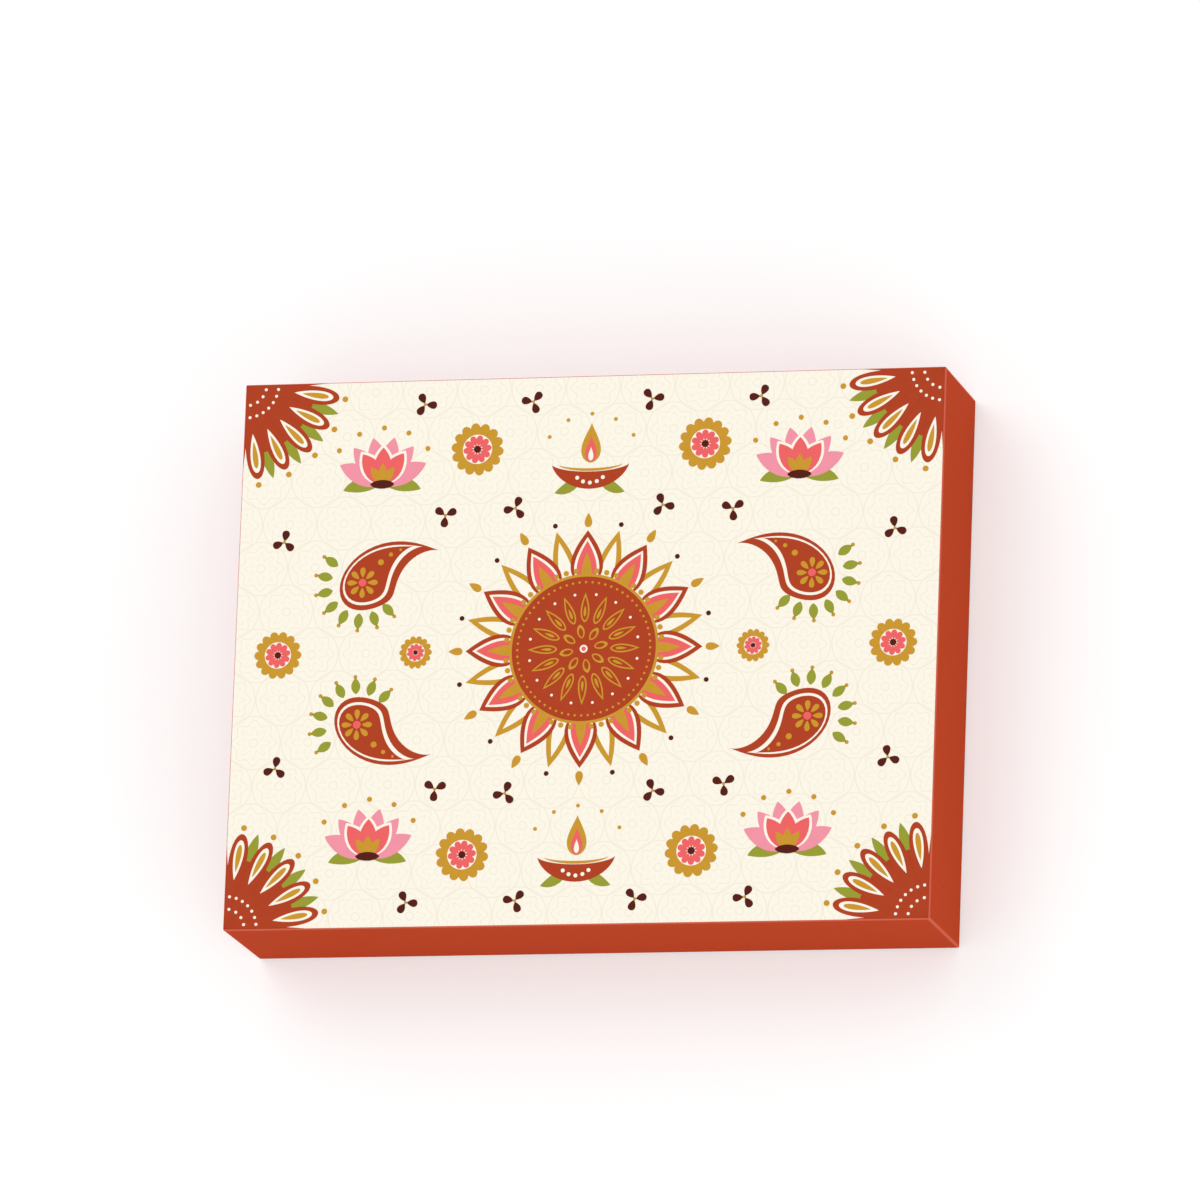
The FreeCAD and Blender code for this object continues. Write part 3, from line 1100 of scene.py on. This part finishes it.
    def film(self, outline: bpy.types.Node) -> bpy.types.Node:
        """Fills the outline and gives it the film's thickness.

        Args:
            outline: The node that gives the closed curve.

        Returns:
            The node that gives the closed film.
        """
        face = add_node(self.tree, "GeometryNodeFillCurve", {0: outline}, mode="NGONS")
        height = {"Offset": (0.0, 0.0, 1.0), "Offset Scale": self.given["Film"]}
        whole = {"Mesh": face, "Individual": False}
        raised = add_node(self.tree, "GeometryNodeExtrudeMesh", whole | height, mode="FACES")
        under = add_node(self.tree, "GeometryNodeFlipFaces", {0: face})
        both = add_node(self.tree, "GeometryNodeJoinGeometry")
        self.tree.links.new(raised.outputs["Mesh"], both.inputs[0])
        self.tree.links.new(under.outputs[0], both.inputs[0])
        return add_node(self.tree, "GeometryNodeMergeByDistance", {0: both, "Distance": self.TOUCH})

    def ring(self, film: bpy.types.Node) -> bpy.types.Node:
        """Repeats a stroke round the figure's middle, each a little thicker, so that overlaps have an order.

        Args:
            film: The node that gives one stroke.

        Returns:
            The node that gives the ring as instances.
        """
        points = add_node(self.tree, "GeometryNodePoints", {"Count": self.given["Count"]})
        index = add_node(self.tree, "GeometryNodeInputIndex").outputs[0]
        steps = {0: index, 1: self.given["Step"], 2: self.given["First angle"]}
        angle = add_node(self.tree, MATH, steps, operation="MULTIPLY_ADD")
        turn = add_node(self.tree, COMBINE, {"Z": angle})
        steps = {0: index, 1: self.given["Rise"], 2: 1.0}
        thicker = add_node(self.tree, MATH, steps, operation="MULTIPLY_ADD")
        size = add_node(self.tree, COMBINE, {"X": 1.0, "Y": 1.0, "Z": thicker})
        placed = {"Points": points, "Instance": film, "Rotation": turn, "Scale": size}
        return add_node(self.tree, "GeometryNodeInstanceOnPoints", placed)

    def at_marks(self, ring: bpy.types.Node) -> bpy.types.Node:
        """Puts the ring on each mark of the figure.

        Args:
            ring: The node that gives the ring.

        Returns:
            The node that gives all rings as instances.
        """
        source = {"Object": self.given["Marks"]}
        marks = add_node(self.tree, "GeometryNodeObjectInfo", source, transform_space="ORIGINAL")
        attribute = "GeometryNodeInputNamedAttribute"
        kind = add_node(self.tree, attribute, {"Name": "motif"}, data_type="INT")
        turn = add_node(self.tree, attribute, {"Name": "turn"}, data_type="FLOAT")
        size = add_node(self.tree, attribute, {"Name": "size"}, data_type="FLOAT")
        # Places 2 and 3 are the whole-number inputs
        same = {2: kind, 3: self.given["Motif"]}
        chosen = add_node(self.tree, "FunctionNodeCompare", same, data_type="INT", operation="EQUAL")
        placed = {
            "Points": marks.outputs["Geometry"],
            "Selection": chosen,
            "Instance": ring,
            "Rotation": add_node(self.tree, COMBINE, {"Z": turn}),
            "Scale": add_node(self.tree, COMBINE, {"X": size, "Y": size, "Z": 1.0}),
        }
        return add_node(self.tree, "GeometryNodeInstanceOnPoints", placed)

    def apply(
        self,
        piece: bpy.types.Object,
        marks: bpy.types.Object,
        motif: Motif,
        ring: Ring,
        ink: bpy.types.Material,
    ) -> None:
        """Adds one ring to a film of ink.

        Args:
            piece: The ink's object.
            marks: The object whose points are the marks.
            motif: The figure that the ring belongs to.
            ring: The strokes.
            ink: The material.
        """
        first, step = ring.first_and_step()
        stroke = ring.stroke
        base_taper, tip_taper = stroke.shape.value
        film = self.SUNK + (ring.layer + 1) * self.LAYER
        values = {
            "Marks": marks,
            "Motif": motif.value,
            "Count": ring.count,
            "First angle": math.radians(first),
            "Step": math.radians(step),
            "Points": stroke.points(),
            "Start": stroke.start * MM,
            "Length": stroke.length * MM,
            "Half width": stroke.half_width() * MM,
            "Base taper": base_taper,
            "Tip taper": tip_taper,
            "Curl": math.radians(stroke.curl) or self.STRAIGHT,
            "Upper side": stroke.upper,
            "Film": film,
            "Rise": self.SPREAD * self.LAYER / (film * ring.count),
            "Ink": ink,
        }
        modifier = piece.modifiers.new(f"{motif.name.lower()}_{len(piece.modifiers)}", "NODES")
        modifier.node_group = self.tree
        for name, value in values.items():
            modifier[self.identifiers[name]] = value


@dataclass
class LidPrint:
    """Print on the lid's panel: one thin film for each ink."""

    panel_z: float
    half_length: float
    half_width: float

    FIGURES: ClassVar[dict[Motif, Figure]] = {
        Motif.MEDALLION: Medallion(),
        Motif.CORNER_FAN: CornerFan(),
        Motif.PAISLEY_LEFT: Paisley(1),
        Motif.PAISLEY_RIGHT: Paisley(-1),
        Motif.LOTUS: Lotus(),
        Motif.LAMP: Lamp(),
        Motif.MARIGOLD: Marigold(),
        Motif.TREFOIL: Trefoil(),
    }
    # Marks on the middle line
    MIDDLE: ClassVar[tuple[Mark, ...]] = (
        Mark(Motif.MEDALLION, 0.0, 0.0),
        Mark(Motif.LAMP, 0.0, 0.675),
        Mark(Motif.LAMP, 0.0, -0.755),
    )
    # Marks of the right half, which are mirrored to the left one
    HALF: ClassVar[tuple[Mark, ...]] = (
        Mark(Motif.MARIGOLD, 0.875, 0.0, size=0.9),
        Mark(Motif.MARIGOLD, 0.48, 0.0, size=0.62),
        Mark(Motif.LOTUS, 0.595, 0.62, size=1.3),
        Mark(Motif.LOTUS, 0.595, -0.74, size=1.3),
    )
    # Marks of one quarter, which are mirrored to the other three
    QUARTER: ClassVar[tuple[Mark, ...]] = (
        Mark(Motif.MARIGOLD, 0.325, 0.74, 6.0),
        Mark(Motif.TREFOIL, 0.21, 0.52, 20.0),
        Mark(Motif.TREFOIL, 0.41, 0.5, 65.0),
        Mark(Motif.TREFOIL, 0.48, 0.91, -25.0),
        Mark(Motif.TREFOIL, 0.17, 0.91, 40.0),
        Mark(Motif.TREFOIL, 0.87, 0.415, 10.0),
    )
    # Place of the paisley in a quarter
    PAISLEY_X: ClassVar[float] = 0.64
    PAISLEY_Y: ClassVar[float] = 0.26
    GOLD_SHINE: ClassVar[float] = 0.3

    def marks(self) -> list[Mark]:
        """Lays out the figures: they mirror left to right, and lotus and lamp stay upright.

        Returns:
            Every mark of the print.
        """
        corner_x = 1 - CornerFan.inset * MM / self.half_length
        corner_y = 1 - CornerFan.inset * MM / self.half_width
        marks = list(self.MIDDLE)
        for side in (-1, 1):
            marks += [replace(mark, x=side * mark.x) for mark in self.HALF]
            for end in (-1, 1):
                inward = math.degrees(math.atan2(-end, -side))
                marks.append(Mark(Motif.CORNER_FAN, side * corner_x, end * corner_y, inward))
                paisley = Motif.PAISLEY_LEFT if side == end else Motif.PAISLEY_RIGHT
                marks.append(Mark(paisley, side * self.PAISLEY_X, end * self.PAISLEY_Y, end * UP))
                for mark in self.QUARTER:
                    marks.append(replace(mark, x=side * mark.x, y=end * mark.y, turn=side * mark.turn))
        return marks

    def mark_object(self) -> bpy.types.Object:
        """Makes the points that the geometry tree prints on.

        Returns:
            An object with one point for each mark, and its motif, turn and size as attributes.
        """
        marks = self.marks()
        mesh = bpy.data.meshes.new("print_marks")
        height = self.panel_z - StrokeTree.SUNK
        points = [(mark.x * self.half_length, mark.y * self.half_width, height) for mark in marks]
        mesh.from_pydata(points, [], [])
        columns = {
            "motif": ("INT", [mark.motif.value for mark in marks]),
            "turn": ("FLOAT", [math.radians(mark.turn) for mark in marks]),
            "size": ("FLOAT", [mark.size for mark in marks]),
        }
        for name, (kind, values) in columns.items():
            mesh.attributes.new(name, kind, "POINT").data.foreach_set("value", values)
        holder = bpy.data.objects.new("print_marks", mesh)
        bpy.context.scene.collection.objects.link(holder)
        return holder

    def build(self) -> None:
        """Prints every ink and rides the films on the lid."""
        marks = self.mark_object()
        strokes = StrokeTree()
        for ink in Ink:
            piece = bpy.data.objects.new(f"print_{ink.name.lower()}", bpy.data.meshes.new("film"))
            bpy.context.scene.collection.objects.link(piece)
            material = PrintInk(ink, self.GOLD_SHINE if ink is Ink.GOLD else 0.0).material()
            for motif, figure in self.FIGURES.items():
                for ring in figure.rings():
                    if ring.ink is ink:
                        strokes.apply(piece, marks, motif, ring, material)
            depsgraph = bpy.context.evaluated_depsgraph_get()
            mesh = bpy.data.meshes.new_from_object(piece.evaluated_get(depsgraph), depsgraph=depsgraph)
            piece.modifiers.clear()
            piece.data = mesh
            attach(piece, "lid")
            log.info("%s: %d faces", piece.name, len(mesh.polygons))
        bpy.data.objects.remove(marks)


@dataclass
class BoxHalf:
    """The lid or the base: wrapped board with a lining, and paper stays on its corners."""

    papers: dict[str, bpy.types.Material]
    name: str = ""

    def wrap(self) -> PrintedWrap:
        """The finish of this half's wrap, which each half gives for itself."""
        raise NotImplementedError

    def build(self) -> None:
        """Gives each node of this half its material."""
        wrap = self.wrap().material(f"{self.name}_laminated_art_paper")
        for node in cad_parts:
            half, kind = node.split("_")[:2]
            if half == self.name:
                paint(node, wrap if kind == "wrap" else self.papers[kind])


@dataclass
class Lid(BoxHalf):
    """The lid, with its printed panel."""

    name: str = "lid"

    def wrap(self) -> PrintedWrap:
        """The wrap with its panel, with a paler line of rubbed wear and painted edge highlight round the
        panel's edge.
        """
        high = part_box("lid_wrap")[1]
        return PrintedWrap(high.x, high.y, (high.z,), high.z)

    def build(self) -> None:
        """Dresses the lid and prints its panel."""
        super().build()
        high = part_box("lid_wrap")[1]
        LidPrint(high.z, high.x, high.y).build()


@dataclass
class Base(BoxHalf):
    """The base, which the lid slides over."""

    name: str = "base"

    def wrap(self) -> PrintedWrap:
        """The plain wrap, with a paler line of rubbed wear and painted edge highlight round its bottom and
        its rim.
        """
        low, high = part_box("base_wrap")
        return PrintedWrap(high.x, high.y, (low.z, high.z))


@dataclass
class Partition:
    """Cross-lapped card strips that stand in the base."""

    # The start of the strips' names, and the axis that their thickness lies along
    strips: tuple[tuple[str, str], ...] = (("long_divider_", "Y"), ("cross_divider_", "X"))

    def build(self) -> None:
        """Gives the strips their metallised faces and raw edges."""
        for prefix, axis in self.strips:
            card = MetallisedCard(axis).material()
            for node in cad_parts:
                if node.startswith(prefix):
                    paint(node, card)


def paint(node: str, material: bpy.types.Material) -> None:
    """Gives a CAD node its material.

    Args:
        node: The node's name.
        material: What its surface is made of.
    """
    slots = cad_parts[node].data.materials
    slots.clear()
    slots.append(material)
    log.info("%s: %s", node, material.name)


@dataclass(frozen=True)
class SoftBox:
    """Large square lamp that looks at the middle of the floor, in metres and watts."""

    name: str
    place: tuple[float, float, float]
    size: float
    power: float

    def build(self) -> None:
        """Hangs the lamp."""
        lamp = bpy.data.lights.new(self.name, "AREA")
        lamp.shape = "SQUARE"
        lamp.size = self.size
        lamp.energy = self.power
        holder = bpy.data.objects.new(self.name, lamp)
        holder.location = self.place
        holder.rotation_euler = Vector(self.place).to_track_quat("Z", "Y").to_euler()
        holder.visible_camera = False
        bpy.context.scene.collection.objects.link(holder)


@dataclass(frozen=True)
class LongLens:
    """Camera above the front right corner, turned until the panel's edges lie nearly square."""

    # Lens and sensor are in millimetres, and the angles in degrees
    lens: float = 400.0
    sensor: float = 36.0
    distance: float = 4.2335
    azimuth: float = -43.57
    tilt: float = 19.5
    roll: float = 2.09
    # Where it looks beside the box's middle, so that the box lies low in the picture
    aside: tuple[float, float, float] = (-1.0 * MM, 21.0 * MM, 0.0)

    def build(self) -> None:
        """Sets up the camera and makes it the scene's own."""
        azimuth, tilt = math.radians(self.azimuth), math.radians(self.tilt)
        out = math.sin(tilt)
        back = Vector((out * math.cos(azimuth), out * math.sin(azimuth), math.cos(tilt)))
        right = Vector((0, 1, 0)).cross(back).normalized()
        turned = Matrix.Rotation(math.radians(self.roll), 3, back)
        axes = (turned @ right, turned @ back.cross(right), back)
        data = bpy.data.cameras.new("camera")
        data.lens = self.lens
        data.sensor_width = self.sensor
        camera = bpy.data.objects.new("camera", data)
        aim = (CAD_BOX[0] + CAD_BOX[1]) / 2 + Vector(self.aside)
        place = Matrix.Translation(aim + self.distance * back)
        camera.matrix_world = place @ Matrix(axes).transposed().to_4x4()
        bpy.context.scene.collection.objects.link(camera)
        bpy.context.scene.camera = camera


@dataclass
class Studio:
    """Plain pale floor, soft light and the camera."""

    floor_half: float = 8.0
    floor_drop: float = 0.05 * MM
    floor_colour: str = "#DDDDDD"
    # Light that the floor adds for the camera, so that it shows white away from the shadow
    floor_glow: float = 0.36
    ambient: float = 0.82
    lamps: tuple[SoftBox, ...] = (
        SoftBox("key", (-0.9, 0.9, 1.6), 1.2, 6.0),
        SoftBox("fill", (1.4, -1.4, 0.8), 1.6, 9.0),
    )
    camera: LongLens = LongLens()

    def build(self) -> None:
        """Sets up everything round the object."""
        self.floor()
        self.world()
        for lamp in self.lamps:
            lamp.build()
        self.camera.build()

    def seen(self, tree: bpy.types.NodeTree) -> bpy.types.Node:
        """Finds the rays that show the background.

        Args:
            tree: The material's or the world's tree.

        Returns:
            A node that gives 1 for camera, glossy and transmission rays.
        """
        path = add_node(tree, "ShaderNodeLightPath").outputs
        sharp = {0: path["Is Glossy Ray"], 1: path["Is Transmission Ray"]}
        sharp = add_node(tree, MATH, sharp, operation="MAXIMUM")
        return add_node(tree, MATH, {0: path["Is Camera Ray"], 1: sharp}, operation="MAXIMUM")

    def floor(self) -> None:
        """A white floor that keeps the object's shadow."""
        half = self.floor_half
        corners = [(-half, -half), (half, -half), (half, half), (-half, half)]
        mesh = bpy.data.meshes.new("floor")
        mesh.from_pydata([(x, y, -self.floor_drop) for x, y in corners], [], [(0, 1, 2, 3)])
        floor = bpy.data.objects.new("floor", mesh)
        bpy.context.scene.collection.objects.link(floor)
        material, tree, output = new_material("white_studio_paper")
        matt = add_node(tree, "ShaderNodeBsdfDiffuse", {"Color": linear(self.floor_colour)})
        glow = add_node(tree, MATH, {0: self.seen(tree), 1: self.floor_glow}, operation="MULTIPLY")
        light = add_node(tree, "ShaderNodeEmission", {"Color": WHITE, "Strength": glow})
        both = add_node(tree, "ShaderNodeAddShader", {0: matt, 1: light})
        tree.links.new(both.outputs[0], output.inputs["Surface"])
        mesh.materials.append(material)

    def world(self) -> None:
        """White all round for the camera, and a softer even light for the object."""
        world = bpy.data.worlds.new("studio")
        bpy.context.scene.world = world
        world.use_nodes = True
        tree = world.node_tree
        tree.nodes.clear()
        levels = {"Value": self.seen(tree), "To Min": self.ambient, "To Max": 1.0}
        strength = add_node(tree, MAP_RANGE, levels)
        light = add_node(tree, "ShaderNodeBackground", {"Color": WHITE, "Strength": strength})
        add_node(tree, "ShaderNodeOutputWorld", {"Surface": light})


def main() -> None:
    """Builds the looks in order: the base, the partition, the lid with its print, and the studio."""
    logging.basicConfig(level=logging.INFO, format="%(message)s")
    bpy.context.scene.view_settings.view_transform = "Standard"
    papers = {kind: paper.material() for kind, paper in PLAIN_PAPERS.items()}
    for part in (Base(papers), Partition(), Lid(papers), Studio()):
        part.build()


if __name__ == "__main__":
    main()
